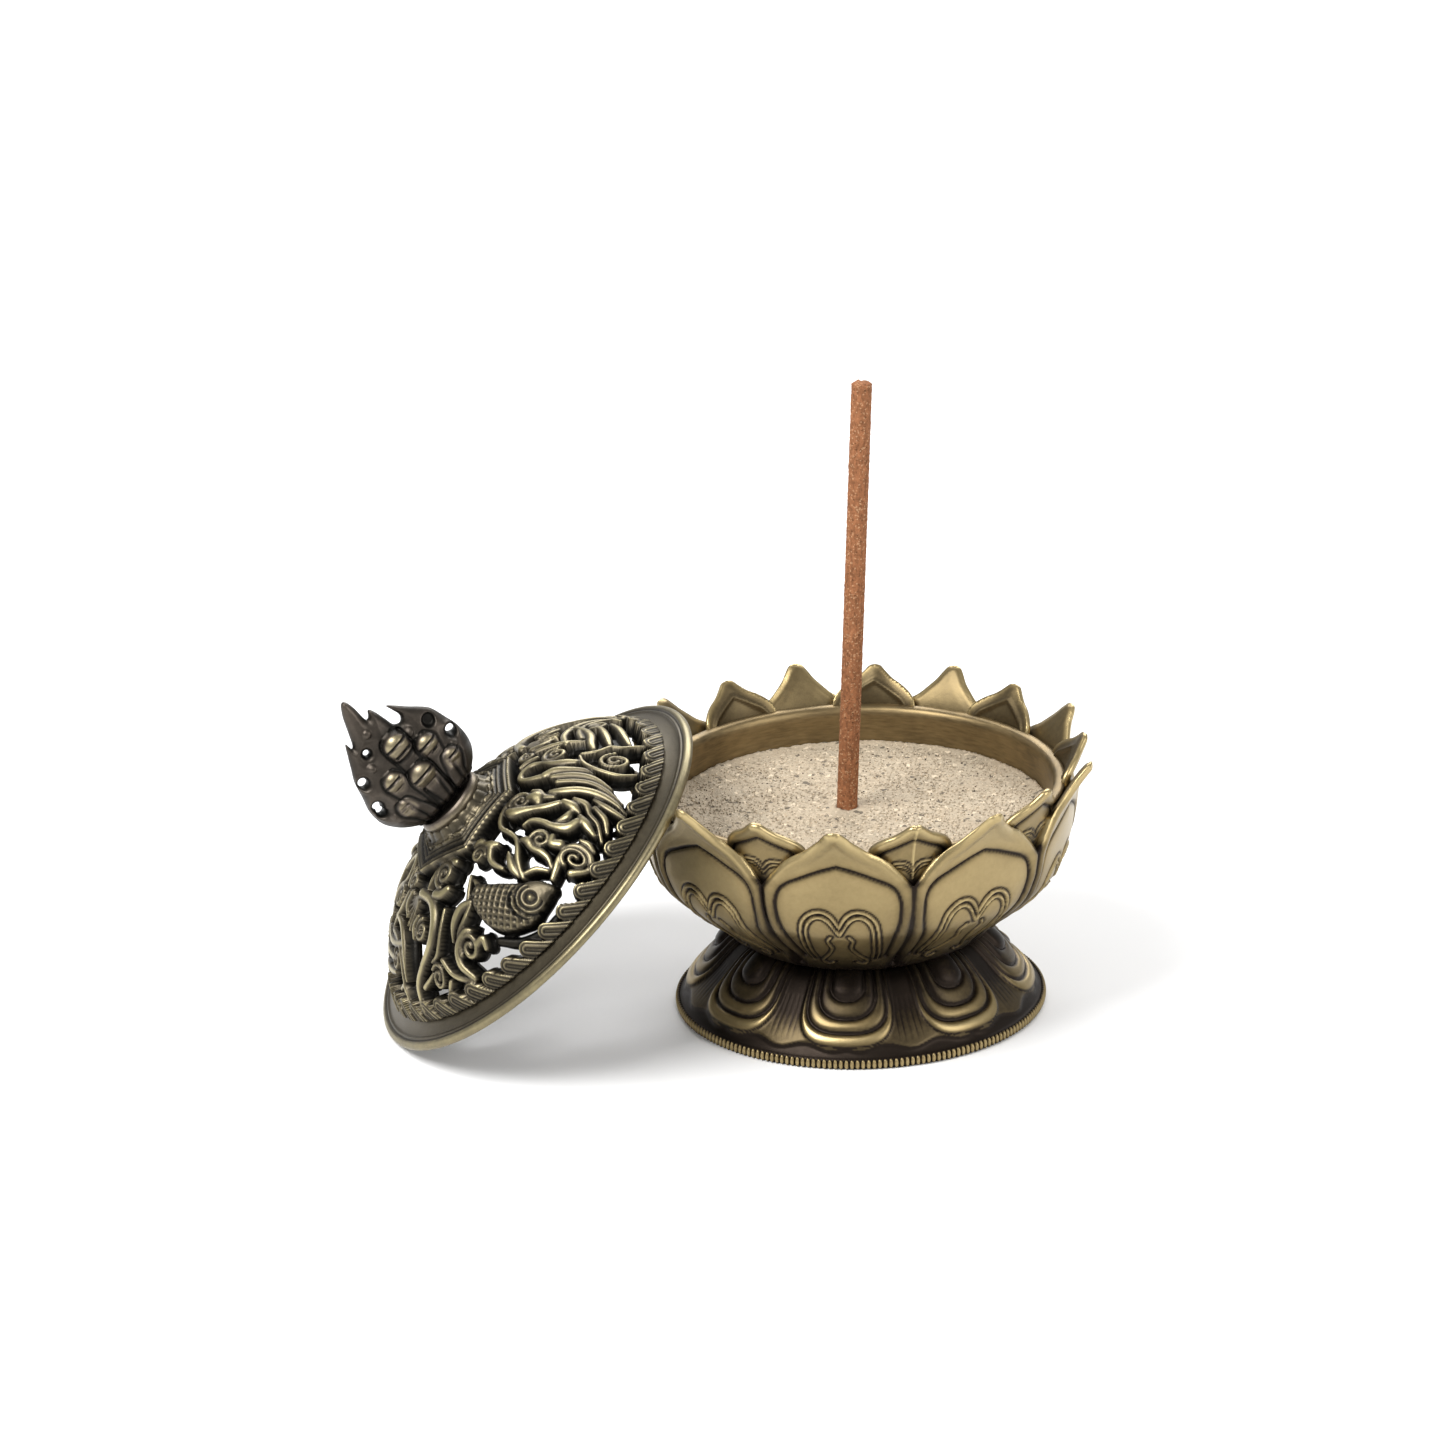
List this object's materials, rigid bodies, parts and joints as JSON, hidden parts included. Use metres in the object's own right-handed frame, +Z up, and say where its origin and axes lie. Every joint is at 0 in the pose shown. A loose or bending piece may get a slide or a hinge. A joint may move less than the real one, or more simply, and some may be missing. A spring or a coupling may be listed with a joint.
{
  "type": "incense burner",
  "caption": "Lotus-shaped metal incense burner on a round foot, with a sand-filled cup, a standing incense stick and an openwork domed lid leaned against it.",
  "frame": {"origin": "middle of the bottom of the whole object's box, on the surface it stands on", "axes": "+Z up; +X from the leaning lid towards the bowl, the longest extent; +Y away from the front, the shortest extent"},
  "size_m": [0.1298, 0.0842, 0.1111],
  "materials": {
    "antique_brass": "antiqued cast brass, dark in the recesses, rubbed satin on the high places",
    "inner_brass": "brown satin brass with fine turning lines",
    "dark_bronze": "dark green-grey bronze patina, rubbed pale on the high places",
    "finial_bronze": "brown-grey bronze patina, satin",
    "sand": "fine pale sand with dark and white grains",
    "incense": "dry pressed powder, reddish brown with pale flecks",
    "steel": "plain zinc-plated screw steel"
  },
  "bodies": {
    "burner": {"foot": "antique_brass", "lotus_bowl": "antique_brass", "liner_cup": "inner_brass", "sand_bed": "sand", "foot_screw": "steel", "foot_washer": "steel", "foot_nut": "steel"},
    "lid": {"lid_dome": "dark_bronze", "finial_collar": "finial_bronze", "finial": "finial_bronze", "finial_screw": "steel", "finial_washer": "steel"},
    "stick": {"incense_stick": "incense"}
  },
  "joints": [
    {"name": "lid_lift", "type": "slide", "parent": "burner", "child": "lid", "axis": [0, 0, 1], "range_m": [0, 0.09]},
    {"name": "stick_pull", "type": "slide", "parent": "burner", "child": "stick", "axis": [0.0541, 0, 0.9985], "range_m": [0, 0.05]}
  ]
}
